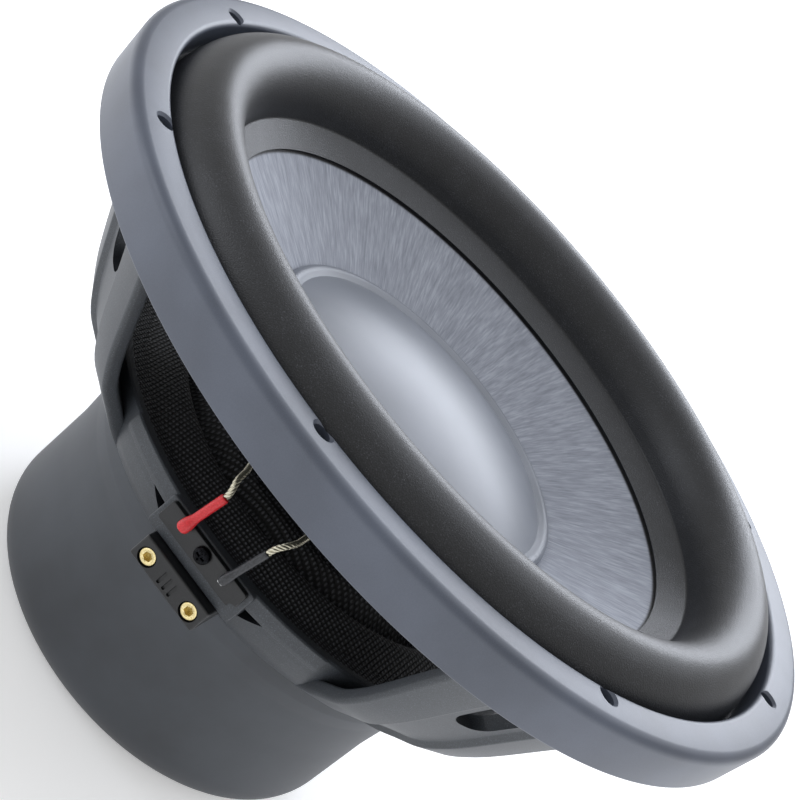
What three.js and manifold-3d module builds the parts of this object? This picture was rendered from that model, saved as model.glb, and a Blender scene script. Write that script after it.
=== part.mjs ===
// A 12 inch long-throw car subwoofer: pressed basket, stacked magnets in a rubber cover, pulp cone on a
// tall half-roll surround, corrugated spider, and a two-screw wire terminal on the basket's side.
// Millimetres. +Z is the speaker's axis, towards the open side of the cone. The speaker stands on its
// rubber cover at z = 0 and its wire terminal faces -Y.
import * as THREE from "three";
import { mergeVertices } from "three/addons/utils/BufferGeometryUtils.js";
import Module from "manifold-3d";

const wasm = await Module();
wasm.setup();

// Clearances
const GLUE = 0.3; // between pieces that are bonded, clamped or pressed together
const FIT = 0.4; // around a screw or a sliding piece

// Facets round a full turn
const WIDE = 48;
const MIDDLE = 32;
const SMALL = 10;

// Front: trim ring, flange and mounting holes
const trimRadius = 160;
const trimOpening = 145.5;
const trimDepth = 18.9;
const trimSkirt = 2.4;
const flangeThickness = 4.6;
const flangeOpening = 137;
const frontToFlange = 14.6;
const boltCircle = 148.8;
const boltCount = 8;
const boltHole = 6;

// Basket: depth from its floor to the speaker's front face, bowl, arms and windows
const basketDepth = 100.3;
const floorThickness = 3;
const floorOpening = 43.5;
const bowlRim = 97.3;
const bowlHeight = 24.5;
const bowlWall = 3.2;
const shelfDepth = 5.4;
const shelfInner = 89.5;
const armCount = 4;
const armSweep = 26;
const armThickness = 5.2;
const webRecess = 2;
const webSweep = 9.6;
const armSlotSweep = 7.6;
const armSlotFoot = 49;
const padSweep = 58;
const padHeight = 6.8;
const padProud = 0.9;
const ventHalfWidth = 29;
const ventDrop = 10.4;
const ventBridge = 0.6;

// Motor, from the floor up
const coverFloor = 4.4;
const coverWall = 2;
const coverCorner = 14;
const backPlateRadius = 68;
const backPlateThickness = 14;
const magnetRadius = 77.6;
const magnetBore = 46;
const magnetThickness = 22.7;
const magnetCount = 2;
const topPlateRadius = 79.4;
const topPlateThickness = 10;
const coilGapOuter = 42.3;
const poleRadius = 36.9;
const ventRadius = 15;
const shortingRingHeight = 9;

// Moving assembly
const coilRadius = 38.1;
const formerWall = 0.5;
const windingThickness = 2.5;
const windingHeight = 36;
const travel = 15;
const coneThickness = 1.5;
const coneRimRadius = 113.2;
const coneLipRadius = 105.3;
const coneLipDepth = 19.2;
const coneNeckDepth = 52.6;
const capRadius = 66.8;
const capRise = 12;
const capThickness = 1.2;
const rollInner = 114.1;
const rollOuter = 144;
const rollRise = 21.3;
const rollRoot = 12.8;
const rollThickness = 1.6;
const lipThickness = 1.2;
const surroundEdge = 152.4;
const spiderRolls = 4;
const spiderRamp = 12;
const spiderWaveHeight = 4.6;
const spiderThickness = 0.8;
const spiderCollar = 4;

// Wire terminal
const plateWidth = 37.4;
const plateHeight = 8;
const plateGap = 0.4;
const bossMargin = 1.8;
const bossHeight = plateHeight + 5.6;
const plateThickness = 2.2;
const terminalScrewRise = 0.6;
const blockWidth = 31.6;
const blockHeight = 9.6;
const blockFront = 105.4;
const blockBack = 86.6;
const screwSpacing = 21.2;
const screwRadius = 3.1;
const clampDrop = 0.8;
const socketAcross = 3;
const wireSlot = 7.4;
const jawThickness = 1.5;
const studRadius = 1.2;
const sleeveLength = 17.5;
const sleeveBead = 0.35;
const sleeveRise = 1.8;
const sleeveRadius = 1.9;
const leadRadius = 1.2;
const eyeletHeight = 1.6;

// Heights that follow from the stack
const backPlateZ = coverFloor + GLUE;
const magnetZ = backPlateZ + backPlateThickness + GLUE;
const topPlateZ = magnetZ + magnetCount * (magnetThickness + GLUE);
const basketZ = topPlateZ + topPlateThickness + GLUE;
const frontZ = basketZ + basketDepth;
const flangeTopZ = frontZ - frontToFlange;
const rimZ = basketZ + bowlHeight;
const shelfZ = rimZ - shelfDepth;
const gapMiddleZ = topPlateZ + topPlateThickness / 2;
const spiderZ = shelfZ + 2 * GLUE + 2;
const coneNeckZ = frontZ - coneNeckDepth;
const bossFront = bowlRim + bowlWall + padProud;

// ---- Solids and helpers ----

function solid(geometry) {
  const bare = geometry.clone();
  bare.deleteAttribute("normal");
  bare.deleteAttribute("uv");
  const merged = mergeVertices(bare, 1e-4);
  return new wasm.Manifold(
    new wasm.Mesh({
      numProp: 3,
      vertProperties: merged.attributes.position.array,
      triVerts: new Uint32Array(merged.index.array),
    }),
  );
}

function geometryOf(shape) {
  const { vertProperties, triVerts } = shape.getMesh();
  const geometry = new THREE.BufferGeometry();
  geometry.setAttribute("position", new THREE.BufferAttribute(vertProperties, 3));
  geometry.setIndex(new THREE.BufferAttribute(triVerts, 1));
  geometry.computeVertexNormals();
  return geometry;
}

// A closed outline of [radius, height] points turned round the Z axis. One that belongs on the axis
// starts and ends there.
function turned(outline, facets = MIDDLE) {
  const area = outline.reduce((sum, [r, z], i) => {
    const [nextR, nextZ] = outline[(i + 1) % outline.length];
    return sum + r * nextZ - nextR * z;
  }, 0);
  const points = outline.map(([r, z]) => new THREE.Vector2(r, z));
  if (area < 0) points.reverse();
  if (points[0].x > 0) points.push(points[0].clone());
  return solid(new THREE.LatheGeometry(points, facets).rotateX(Math.PI / 2));
}

function tube(inner, outer, height, facets = MIDDLE) {
  return turned([[inner, 0], [outer, 0], [outer, height], [inner, height]], facets);
}

// A cylinder standing on z = low, at x, y.
function peg(radius, low, high, x = 0, y = 0, facets = SMALL) {
  const shape = new THREE.CylinderGeometry(radius, radius, high - low, facets);
  shape.rotateX(Math.PI / 2).translate(x, y, (low + high) / 2);
  return solid(shape);
}

// A cylinder that runs along Y.
function crossPeg(radius, y0, y1, x, z, facets = SMALL) {
  const shape = new THREE.CylinderGeometry(radius, radius, y1 - y0, facets);
  return solid(shape.translate(x, (y0 + y1) / 2, z));
}

function block(x0, x1, y0, y1, z0, z1) {
  const shape = new THREE.BoxGeometry(x1 - x0, y1 - y0, z1 - z0);
  return solid(shape.translate((x0 + x1) / 2, (y0 + y1) / 2, (z0 + z1) / 2));
}

// A wedge of the full turn: centre and sweep in degrees, from the axis out past every part.
function sector(centre, sweep, low, high) {
  const reach = 2 * trimRadius;
  const shape = new THREE.Shape();
  shape.moveTo(0, 0);
  for (const side of [-0.5, 0, 0.5]) {
    const angle = THREE.MathUtils.degToRad(centre + side * sweep);
    shape.lineTo(reach * Math.cos(angle), reach * Math.sin(angle));
  }
  const wedge = new THREE.ExtrudeGeometry(shape, { depth: high - low, bevelEnabled: false });
  return solid(wedge.translate(0, 0, low));
}

// Points at equal steps round the axis; the first one is turned by offset degrees.
function round(count, radius, offset = 0) {
  return Array.from({ length: count }, (_, i) => {
    const angle = THREE.MathUtils.degToRad(offset + (360 * i) / count);
    return [radius * Math.cos(angle), radius * Math.sin(angle)];
  });
}

function piece(name, shape, color, roughness, metalness, z = 0) {
  const material = new THREE.MeshStandardMaterial({ color, roughness, metalness });
  const mesh = new THREE.Mesh(shape.isBufferGeometry ? shape : geometryOf(shape), material);
  mesh.name = name;
  mesh.position.z = z;
  return mesh;
}

// ---- Frame ----

// The arms' outer face from the bowl's foot to the flange, [radius, height over the basket's floor].
function armLine() {
  const flangeRear = basketDepth - frontToFlange - flangeThickness;
  const knee = bowlRim + 16.5;
  return [
    [bowlRim - 8, 1.5],
    [bowlRim + 0.5, 8],
    [bowlRim + 8.3, 15],
    [knee, 22.5],
    [knee + 6, 31],
    [knee + 11.5, 41],
    [knee + 21, 61],
    [knee + 31, flangeRear + GLUE],
  ];
}

function armShell(skin, thickness) {
  const outer = armLine().map(([r, z]) => [r - skin, z]);
  const inner = armLine().map(([r, z]) => [r - skin - thickness, z]);
  return turned([...outer, ...inner.reverse()], WIDE);
}

function basketBowl() {
  const wall = bowlRim + bowlWall;
  const bowl = turned(
    [
      [floorOpening, 0],
      [wall - 15, 0],
      [wall - 9.5, 3],
      [wall - 6, 7.5],
      [wall - 3, 14],
      [wall - 1, 19.5],
      [wall, bowlHeight - 1],
      [wall - 0.8, bowlHeight],
      [bowlRim, bowlHeight],
      [bowlRim, bowlHeight - shelfDepth],
      [shelfInner, bowlHeight - shelfDepth],
      [shelfInner, floorThickness + 2],
      [shelfInner - 2, floorThickness],
      [floorOpening, floorThickness],
    ],
    WIDE,
  );
  const padFoot = bowlHeight - padHeight;
  const band = turned(
    [
      [wall - 2.5, padFoot],
      [wall + padProud - 0.8, padFoot],
      [wall + padProud, padFoot + 2],
      [wall + padProud, bowlHeight - 0.6],
      [wall + padProud - 0.6, bowlHeight],
      [bowlRim + 1, bowlHeight],
    ],
    WIDE,
  );
  return bowl.add(band.intersect(sector(-90, padSweep, 0, basketDepth)));
}

// The raised flat that carries the terminal, flush with the pad's crown. It crosses the vent.
function terminalBoss() {
  const half = plateWidth / 2 + bossMargin;
  const shelf = bowlHeight - shelfDepth;
  const upper = block(-half, half, -bossFront, -bowlRim - 0.5, shelf - 1, bowlHeight);
  const lower = block(-half, half, -bossFront, -shelfInner - 1, bowlHeight - bossHeight, shelf);
  return upper.add(lower);
}

// The pocket in the bowl's foot that the clamp block sits in.
function blockPocket() {
  const half = blockWidth / 2 + GLUE;
  return block(-half, half, -trimRadius, -blockBack + GLUE, -1, bowlHeight - bossHeight);
}

function ventOpening() {
  const radius = (ventHalfWidth ** 2 + ventDrop ** 2) / (2 * ventDrop);
  const top = bowlHeight - padHeight - ventBridge;
  const half = Math.asin(ventHalfWidth / radius);
  const shape = new THREE.Shape();
  shape.absarc(0, radius - ventDrop, radius, -Math.PI / 2 - half, -Math.PI / 2 + half, false);
  const cut = new THREE.ExtrudeGeometry(shape, { depth: 30, bevelEnabled: false, curveSegments: 8 });
  return solid(cut.rotateX(Math.PI / 2).translate(0, -shelfInner + 12, top));
}

function basket() {
  const flangeZ = basketDepth - frontToFlange - flangeThickness;
  const flangeEdge = trimRadius - trimSkirt - 1.3;
  let frame = turned(
    [
      [flangeOpening, flangeZ],
      [flangeEdge, flangeZ],
      [flangeEdge, flangeZ + flangeThickness],
      [flangeOpening, flangeZ + flangeThickness],
    ],
    WIDE,
  );
  const rails = armShell(0, armThickness);
  const hollow = armShell(-1, webRecess + 1);
  const slot = armShell(-2, armThickness + 4);
  for (let i = 0; i < armCount; i++) {
    const centre = (360 * (i + 0.5)) / armCount;
    const recess = hollow.intersect(sector(centre, webSweep, 12, flangeZ));
    const opening = slot.intersect(sector(centre, armSlotSweep, armSlotFoot, flangeZ - 3));
    const arm = rails.intersect(sector(centre, armSweep, 0, flangeZ + 1));
    frame = frame.add(arm.subtract(recess).subtract(opening));
  }
  frame = frame.add(basketBowl()).subtract(ventOpening()).add(terminalBoss()).subtract(blockPocket());
  for (const [x, y] of round(boltCount, boltCircle)) {
    frame = frame.subtract(peg(boltHole / 2, flangeZ - 1, basketDepth, x, y));
  }
  for (const [x, y] of basketScrewPlaces()) {
    frame = frame.subtract(peg(basketScrewRadius + FIT, -1, floorThickness + 1, x, y, 12));
  }
  const screwZ = terminalScrewZ - basketZ;
  const hole = crossPeg(terminalScrewShank + FIT, -trimRadius, -terminalScrewEnd + FIT, 0, screwZ);
  return piece("basket", frame.subtract(hole), 0x3b3e42, 0.55, 0.6, basketZ);
}

function trimRing() {
  const lipTop = frontToFlange - lipThickness - 2 * GLUE;
  const skirtInner = trimRadius - trimSkirt - 1;
  let ring = turned(
    [
      [trimOpening, -lipTop],
      [trimOpening, -1.6],
      [trimOpening + 1.2, -0.3],
      [trimOpening + 2.4, 0],
      [trimRadius - 3.4, 0],
      [trimRadius - 1.4, -0.5],
      [trimRadius - 0.2, -1.8],
      [trimRadius, -4],
      [trimRadius - 1.4, -trimDepth],
      [skirtInner, -trimDepth],
      [skirtInner, -frontToFlange + GLUE],
      [surroundEdge + GLUE, -frontToFlange + GLUE],
      [surroundEdge + GLUE, -lipTop],
    ],
    WIDE,
  );
  for (const [x, y] of round(boltCount, boltCircle)) {
    ring = ring.subtract(peg(boltHole / 2, -trimDepth, 1, x, y));
  }
  return piece("trim_ring", ring, 0x4a4d52, 0.6, 0, frontZ);
}

// ---- Motor ----

function magnet(index) {
  const ring = tube(magnetBore, magnetRadius, magnetThickness);
  const z = magnetZ + index * (magnetThickness + GLUE);
  return piece("magnet_" + (index + 1), ring, 0x2a2a2c, 0.8, 0.1, z);
}

function topPlate() {
  let plate = tube(coilGapOuter, topPlateRadius, topPlateThickness);
  for (const [x, y] of basketScrewPlaces()) {
    plate = plate.subtract(peg(basketScrewRadius + FIT, 1.5, topPlateThickness + 1, x, y, 12));
  }
  return piece("top_plate", plate, 0x8f9296, 0.4, 0.9, topPlateZ);
}

// The back plate and the vented pole are one forging.
function yoke() {
  const poleHeight = topPlateZ + topPlateThickness - backPlateZ;
  const shape = turned([
    [ventRadius, 4],
    [ventRadius + 4, 0],
    [backPlateRadius - 5, 0],
    [backPlateRadius, 5],
    [backPlateRadius, backPlateThickness],
    [poleRadius, backPlateThickness],
    [poleRadius, poleHeight - 1],
    [poleRadius - 1, poleHeight],
    [ventRadius + 3, poleHeight],
    [ventRadius, poleHeight - 3],
  ]);
  return piece("yoke", shape, 0x8f9296, 0.4, 0.9, backPlateZ);
}

function shortingRing() {
  const ring = tube(poleRadius + GLUE, magnetBore - 2, shortingRingHeight, 32);
  return piece("shorting_ring", ring, 0xc9cbce, 0.3, 1, magnetZ);
}

// A rubber cup stretched over the magnets: fuller over the wider top plate, rounded at its foot.
function motorCover() {
  const top = basketZ - GLUE;
  const inner = magnetRadius + GLUE;
  const outer = inner + coverWall;
  const shoulder = topPlateRadius + GLUE;
  const foot = [];
  const steps = 4;
  for (let i = 0; i <= steps; i++) {
    const angle = (Math.PI / 2) * (i / steps);
    const r = outer - coverCorner * (1 - Math.cos(angle));
    foot.push([r, coverCorner * (1 - Math.sin(angle))]);
  }
  const shape = turned(
    [
      [ventRadius + 5, 0],
      ...foot.reverse(),
      [outer, topPlateZ - 22],
      [shoulder + coverWall - 0.4, topPlateZ - 4],
      [shoulder + coverWall + 0.8, topPlateZ + 2],
      [shoulder + coverWall + 0.8, top - 1],
      [shoulder + coverWall, top],
      [shoulder, top],
      [shoulder, topPlateZ - GLUE],
      [inner, topPlateZ - GLUE],
      [inner, magnetZ],
      [backPlateRadius + GLUE, magnetZ - GLUE],
      [backPlateRadius + GLUE, backPlateZ + 5],
      [backPlateRadius - 5, coverFloor],
      [ventRadius + 5, coverFloor],
    ],
    WIDE,
  );
  return piece("motor_cover", shape, 0x36383b, 0.7, 0);
}

function ventScreen() {
  let disc = tube(0.8, ventRadius - GLUE, 0.8, 32);
  for (const radius of [4.5, 9]) {
    for (const [x, y] of round(radius > 5 ? 12 : 6, radius)) {
      disc = disc.subtract(peg(1.3, -1, 2, x, y, 6));
    }
  }
  return piece("vent_screen", disc, 0x222222, 0.6, 0.6, backPlateZ + 6);
}

const basketScrewRadius = 2.45;
const basketScrewCircle = 62;
const basketScrewHead = 2.8;

function basketScrewPlaces() {
  return round(armCount, basketScrewCircle);
}

function basketScrew(index) {
  const head = peg(4.6, 0, basketScrewHead);
  const socket = peg(1.7, 1, basketScrewHead + 1, 0, 0, 6);
  const shank = peg(basketScrewRadius, -topPlateThickness + 1, 0.5, 0, 0, 12);
  const z = basketZ + floorThickness + GLUE;
  const screw = piece("basket_screw_" + (index + 1), head.add(shank).subtract(socket), 0x26272a, 0.4, 0.9, z);
  const [x, y] = basketScrewPlaces()[index];
  screw.position.set(x, y, z);
  return screw;
}

// ---- Moving assembly and its suspension ----

// Depth of the cone's front face under the speaker's front face, at a radius.
function coneDepth(radius) {
  const lip = coneLipDepth + lipThickness + GLUE;
  const slope = (coneNeckDepth - lip) / (coneLipRadius - coilRadius);
  return lip + (coneLipRadius - radius) * slope;
}

function lipDepth(radius) {
  const share = (radius - coneLipRadius) / (rollInner - coneLipRadius);
  return coneLipDepth + share * (rollRoot - coneLipDepth);
}

function cone() {
  const under = lipThickness + 2 * GLUE;
  const shape = turned(
    [
      [coilRadius + GLUE, -coneDepth(coilRadius + GLUE)],
      [coneLipRadius, -coneDepth(coneLipRadius)],
      [coneRimRadius, -lipDepth(coneRimRadius) - under],
      [coneRimRadius, -lipDepth(coneRimRadius) - under - coneThickness],
      [coneLipRadius + 0.6, -coneDepth(coneLipRadius) - coneThickness],
      [coilRadius + 2, -coneDepth(coilRadius) - coneThickness],
      [coilRadius + GLUE, -coneDepth(coilRadius) - coneThickness],
    ],
    WIDE,
  );
  return piece("cone", shape, 0x8d9096, 0.85, 0, frontZ);
}

// A shallow dome inside a rolled rim that stands on the cone.
function dustCap() {
  const foot = coneDepth(capRadius) - 2 * GLUE;
  const domeRadius = capRadius - 5.8;
  const domeFoot = 1.3;
  const rise = capRise - domeFoot;
  const steps = 5;
  const dome = (thickness) =>
    Array.from({ length: steps + 1 }, (_, i) => {
      const share = i / steps;
      return [domeRadius * share, domeFoot + rise * (1 - share ** 2) - thickness];
    });
  const outside = [
    ...dome(0),
    [capRadius - 4.6, 1.9],
    [capRadius - 2.8, 2.3],
    [capRadius - 0.8, 1.6],
    [capRadius, 0],
  ];
  const inside = [...dome(capThickness), [capRadius - 3, 1], [capRadius - 1.2, 0]];
  return piece("dust_cap", turned([...outside, ...inside.reverse()]), 0x85888e, 0.6, 0, frontZ - foot);
}

function coilFormer() {
  const top = coneNeckZ + 2;
  const foot = gapMiddleZ - windingHeight / 2 - 3.5;
  const ring = tube(coilRadius - formerWall, coilRadius, top - foot);
  return piece("coil_former", ring, 0x1d1d1f, 0.4, 0.2, foot);
}

function coilWinding() {
  const ring = tube(coilRadius + GLUE, coilRadius + GLUE + windingThickness, windingHeight);
  return piece("coil_winding", ring, 0x9c5a2c, 0.35, 0.9, gapMiddleZ - windingHeight / 2);
}

function surround() {
  const centre = (rollInner + rollOuter) / 2;
  const half = (rollOuter - rollInner) / 2;
  const steps = 8;
  const roll = (inset, skirt) =>
    Array.from({ length: steps + 1 }, (_, i) => {
      const angle = Math.PI * (1 - i / steps);
      const height = (rollRise - inset + skirt) * Math.sin(angle);
      return [centre + (half - inset) * Math.cos(angle), -rollRoot - skirt + height];
    });
  const outside = [[coneLipRadius, -coneLipDepth], ...roll(0, 0), [surroundEdge, -rollRoot]];
  const inside = [
    [coneLipRadius, -coneLipDepth - lipThickness],
    [rollInner, -rollRoot - lipThickness - GLUE],
    ...roll(rollThickness, lipThickness),
    [surroundEdge, -rollRoot - lipThickness],
  ];
  let ring = turned([...outside, ...inside.reverse()], WIDE);
  for (const [x, y] of round(boltCount, boltCircle)) {
    ring = ring.subtract(peg(boltHole / 2, -rollRoot - 5, 0, x, y));
  }
  return piece("surround", ring, 0x1c1c1e, 0.8, 0, frontZ);
}

// A collar on the former, then rolls out to a long ramp and a flat landing on the spider's ring.
function spider() {
  const collar = coilRadius + GLUE;
  const inner = collar + spiderCollar;
  const landing = shelfInner - 1;
  const roll = (landing - spiderRamp - inner) / spiderRolls;
  const crests = Array.from({ length: spiderRolls }, (_, i) => [
    inner + (i + 1) * roll,
    (spiderRolls - i) % 2 ? spiderWaveHeight : -spiderWaveHeight,
  ]);
  const middle = [[inner, 0], ...crests, [landing, 0], [bowlRim - GLUE, 0]];
  const half = spiderThickness / 2;
  const shape = turned([
    [collar, spiderCollar],
    [collar + 1.2, spiderCollar],
    ...middle.map(([r, z]) => [r, z + half]),
    ...middle.map(([r, z]) => [r, z - half]).reverse(),
    [collar, -half],
  ]);
  return piece("spider", shape, 0x18181a, 0.9, 0, spiderZ);
}

function spiderRing() {
  const height = spiderZ - spiderThickness / 2 - GLUE - (shelfZ + GLUE);
  const ring = tube(shelfInner + 0.6, bowlRim - GLUE, height);
  return piece("spider_ring", ring, 0x141414, 0.6, 0, shelfZ + GLUE);
}

// ---- Wire terminal ----

const plateZ = rimZ - plateGap - plateHeight / 2;
const blockTop = rimZ - bossHeight - GLUE;
const terminalScrewZ = plateZ + terminalScrewRise;
const terminalScrewShank = 1.5;
const terminalScrewEnd = bowlRim + 1;
const lugSpread = [-10.4, 10];
const lugDrop = 2;
const lugWidth = 3.2;
const clampZ = blockTop - blockHeight / 2 - clampDrop;
const slotBack = blockBack + 2;
const slotFront = slotBack + 8.4;
const sides = [
  { name: "positive", turn: -1, sleeve: 0xd8373c, lug: lugSpread[0] },
  { name: "negative", turn: 1, sleeve: 0x2c2d30, lug: lugSpread[1] },
];

function terminalPlate() {
  const half = plateWidth / 2;
  const low = plateZ - plateHeight / 2;
  const plate = block(-half, half, -bossFront - GLUE - plateThickness, -bossFront - GLUE, low, low + plateHeight);
  const hole = crossPeg(terminalScrewShank + FIT, -trimRadius, 0, 0, terminalScrewZ, 12);
  return piece("terminal_plate", plate.subtract(hole), 0x1a1a1c, 0.5, 0);
}

function terminalScrew() {
  const face = -bossFront - plateThickness - 2 * GLUE;
  const head = crossPeg(3, face - 1.2, face, 0, terminalScrewZ);
  const crown = crossPeg(2.2, face - 2, face, 0, terminalScrewZ, 12);
  const shank = crossPeg(terminalScrewShank, face - 0.5, -terminalScrewEnd, 0, terminalScrewZ, 10);
  return piece("terminal_screw", head.add(crown).add(shank), 0x18191b, 0.3, 0.8);
}

// The clamp block: a screw hole in the face and a wire slot from below on each side.
function terminalBlock() {
  const half = blockWidth / 2;
  const low = blockTop - blockHeight;
  let body = block(-half, half, -blockFront, -blockBack, low, blockTop);
  for (const { turn } of sides) {
    const x = (turn * screwSpacing) / 2;
    const slotHalf = wireSlot / 2;
    const slot = block(x - slotHalf, x + slotHalf, -slotFront, -slotBack, low - 1, blockTop - 1.4);
    body = body.subtract(crossPeg(screwRadius + FIT, -blockFront - 1, -slotFront + 1, x, clampZ));
    body = body.subtract(slot);
  }
  for (const x of [-2.6, 0, 2.6]) {
    body = body.subtract(block(x - 0.6, x + 0.6, -blockFront - 1, -blockFront + 0.7, clampZ - 2.4, clampZ + 2.4));
  }
  return piece("terminal_block", body, 0x1a1a1c, 0.5, 0);
}

function clampScrew({ name, turn }) {
  const x = (turn * screwSpacing) / 2;
  const back = slotFront + GLUE;
  const body = crossPeg(screwRadius, -blockFront + 0.4, -back, x, clampZ);
  const stud = crossPeg(studRadius, -back - 1, -slotFront + jawThickness, x, clampZ);
  const socket = crossPeg(socketAcross / Math.sqrt(3), -blockFront - 1, -blockFront + 3.2, x, clampZ, 6);
  return piece("clamp_screw_" + name, body.add(stud).subtract(socket), 0xc8b26a, 0.25, 1);
}

function clampJaw({ name, turn }) {
  const x = (turn * screwSpacing) / 2;
  const half = wireSlot / 2 - FIT;
  const front = slotFront - GLUE;
  const low = blockTop - blockHeight + 0.6;
  const jaw = block(x - half, x + half, -front, -front + jawThickness, low, blockTop - 1.8);
  const hole = crossPeg(studRadius + FIT, -front - 1, -front + jawThickness + 1, x, clampZ, 10);
  return piece("clamp_jaw_" + name, jaw.subtract(hole), 0xc8b26a, 0.3, 1);
}

function contact({ name, turn }) {
  const x = (turn * screwSpacing) / 2;
  const half = wireSlot / 2 - FIT;
  const low = blockTop - blockHeight + 0.6;
  const bar = block(x - half, x + half, -slotBack - 1.2, -slotBack - GLUE, low, blockTop - 1.8);
  return piece("contact_" + name, bar, 0xc8b26a, 0.3, 1);
}

const lugFace = bossFront + plateThickness + 2 * GLUE;
const sleeveFootZ = plateZ + sleeveRise;

function lug({ name, lug: x }) {
  const half = lugWidth / 2;
  const tab = block(x - half, x + half, -lugFace - 1, -lugFace, sleeveFootZ - lugDrop, sleeveFootZ - GLUE);
  return piece("lug_" + name, tab, 0xb9bcc0, 0.3, 1);
}

function sleeveTop({ turn, lug: x }) {
  const lean = turn < 0 ? 1.6 : 2.4;
  return new THREE.Vector3(x + lean, -lugFace - 0.4, sleeveFootZ + sleeveLength);
}

// Heat-shrink sleeve over the lug's barrel, leaning a little to its top.
function sleeve(side) {
  const bead = sleeveRadius + sleeveBead;
  const foot = new THREE.Vector3(side.lug, -lugFace - bead - GLUE, sleeveFootZ);
  const run = sleeveTop(side).sub(foot);
  const long = run.length();
  const outline = [[0, 0], [bead - 0.6, 0], [bead, 1], [bead, 4.5], [sleeveRadius, 7]];
  outline.push([sleeveRadius, long - 0.6], [sleeveRadius - 0.3, long], [0, long]);
  const points = outline.map(([r, z]) => new THREE.Vector2(r, z));
  const mesh = piece("sleeve_" + side.name, new THREE.LatheGeometry(points, 12), side.sleeve, 0.5, 0);
  mesh.position.copy(foot);
  mesh.quaternion.setFromUnitVectors(new THREE.Vector3(0, 1, 0), run.normalize());
  return mesh;
}

// Where a lead meets the cone's back.
function eyeletPlace({ turn }) {
  const radius = 72;
  const angle = THREE.MathUtils.degToRad(-90 + turn * 10);
  const depth = coneDepth(radius) + coneThickness + 2 * GLUE;
  return new THREE.Vector3(radius * Math.cos(angle), radius * Math.sin(angle), frontZ - depth - 1);
}

function eyelet(side) {
  const place = eyeletPlace(side);
  const mesh = piece("lead_eyelet_" + side.name, peg(2.2, -eyeletHeight, 0), 0xb9bcc0, 0.3, 1);
  mesh.position.copy(place);
  return mesh;
}

// Braided lead: out of the sleeve, up in a bow, and in to the back of the cone.
function lead(side) {
  const start = sleeveTop(side);
  const end = eyeletPlace(side);
  const { turn } = side;
  const route = [
    new THREE.Vector3(start.x, start.y, start.z + GLUE),
    new THREE.Vector3(start.x + 0.5 * turn, start.y + 0.4, start.z + 3),
    new THREE.Vector3(start.x + 2 * turn, start.y + 2.2, start.z + 5.8),
    new THREE.Vector3(start.x + 3 * turn, start.y + 7.5, start.z + 7),
    new THREE.Vector3(end.x + 2 * turn, end.y - 12, start.z + 6.4),
    new THREE.Vector3(end.x + 0.3 * turn, end.y - 0.6, end.z - 7),
    new THREE.Vector3(end.x, end.y, end.z - eyeletHeight - GLUE),
  ];
  const section = new THREE.Shape();
  section.absarc(0, 0, leadRadius, 0, 2 * Math.PI, false);
  const shape = new THREE.ExtrudeGeometry(section, {
    steps: 24,
    curveSegments: 4,
    bevelEnabled: false,
    extrudePath: new THREE.CatmullRomCurve3(route),
  });
  return piece("lead_" + side.name, shape, 0xb7b29c, 0.45, 0.7);
}

// Gauze behind the bowl's vent, against its inner wall.
function ventGauze() {
  const low = bowlHeight - bossHeight + GLUE;
  const high = bowlHeight - shelfDepth - 1;
  const outer = shelfInner - GLUE;
  const strip = turned([[outer - 0.8, low], [outer, low], [outer, high], [outer - 0.8, high]]);
  const sweep = THREE.MathUtils.radToDeg(2 * Math.asin((ventHalfWidth + 4) / shelfInner));
  return piece("vent_gauze", strip.intersect(sector(-90, sweep, 0, bowlHeight)), 0x121214, 0.8, 0.1, basketZ);
}

// ---- Assembly ----

const subwoofer = new THREE.Group();
const motor = new THREE.Group();
const moving = new THREE.Group();
const terminal = new THREE.Group();
for (let i = 0; i < magnetCount; i++) motor.add(magnet(i));
motor.add(topPlate(), yoke(), shortingRing(), motorCover(), ventScreen());
basketScrewPlaces().forEach((_, i) => motor.add(basketScrew(i)));
moving.add(cone(), dustCap(), coilFormer(), coilWinding(), surround(), spider());
terminal.add(terminalPlate(), terminalScrew(), terminalBlock(), ventGauze());
for (const side of sides) {
  terminal.add(clampScrew(side), clampJaw(side), contact(side), lug(side), sleeve(side), lead(side));
  moving.add(eyelet(side));
}
subwoofer.add(basket(), trimRing(), spiderRing(), motor, moving, terminal);

export default subwoofer;
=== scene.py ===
# A 12 inch class car subwoofer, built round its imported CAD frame.
# Sizes in the dictionaries are millimetres; a mesh is turned to metres as it is made.
import math
import bmesh
import bpy
import numpy as np
from mathutils import Matrix, Vector


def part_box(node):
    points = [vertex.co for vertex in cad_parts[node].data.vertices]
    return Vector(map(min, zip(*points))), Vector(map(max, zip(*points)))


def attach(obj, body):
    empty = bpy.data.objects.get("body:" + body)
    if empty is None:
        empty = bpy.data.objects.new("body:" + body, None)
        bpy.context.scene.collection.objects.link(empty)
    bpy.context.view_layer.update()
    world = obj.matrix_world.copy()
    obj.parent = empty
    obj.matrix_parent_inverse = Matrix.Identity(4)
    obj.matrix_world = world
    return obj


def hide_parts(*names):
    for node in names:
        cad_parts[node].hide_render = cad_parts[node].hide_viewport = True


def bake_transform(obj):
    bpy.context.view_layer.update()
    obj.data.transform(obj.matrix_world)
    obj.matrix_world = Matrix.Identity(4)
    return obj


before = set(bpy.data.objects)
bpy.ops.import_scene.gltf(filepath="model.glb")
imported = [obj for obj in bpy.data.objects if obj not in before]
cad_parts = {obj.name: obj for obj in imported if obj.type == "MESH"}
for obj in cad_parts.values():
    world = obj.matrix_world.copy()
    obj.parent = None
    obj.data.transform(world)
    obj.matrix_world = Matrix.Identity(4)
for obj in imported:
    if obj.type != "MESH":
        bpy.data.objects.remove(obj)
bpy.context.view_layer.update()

mm = 0.001
turn = 2 * math.pi
gap = 0.3  # between pieces that are bonded or clamped together, as in the frame


def low(node):
    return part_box(node)[0] / mm


def high(node):
    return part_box(node)[1] / mm


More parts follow.
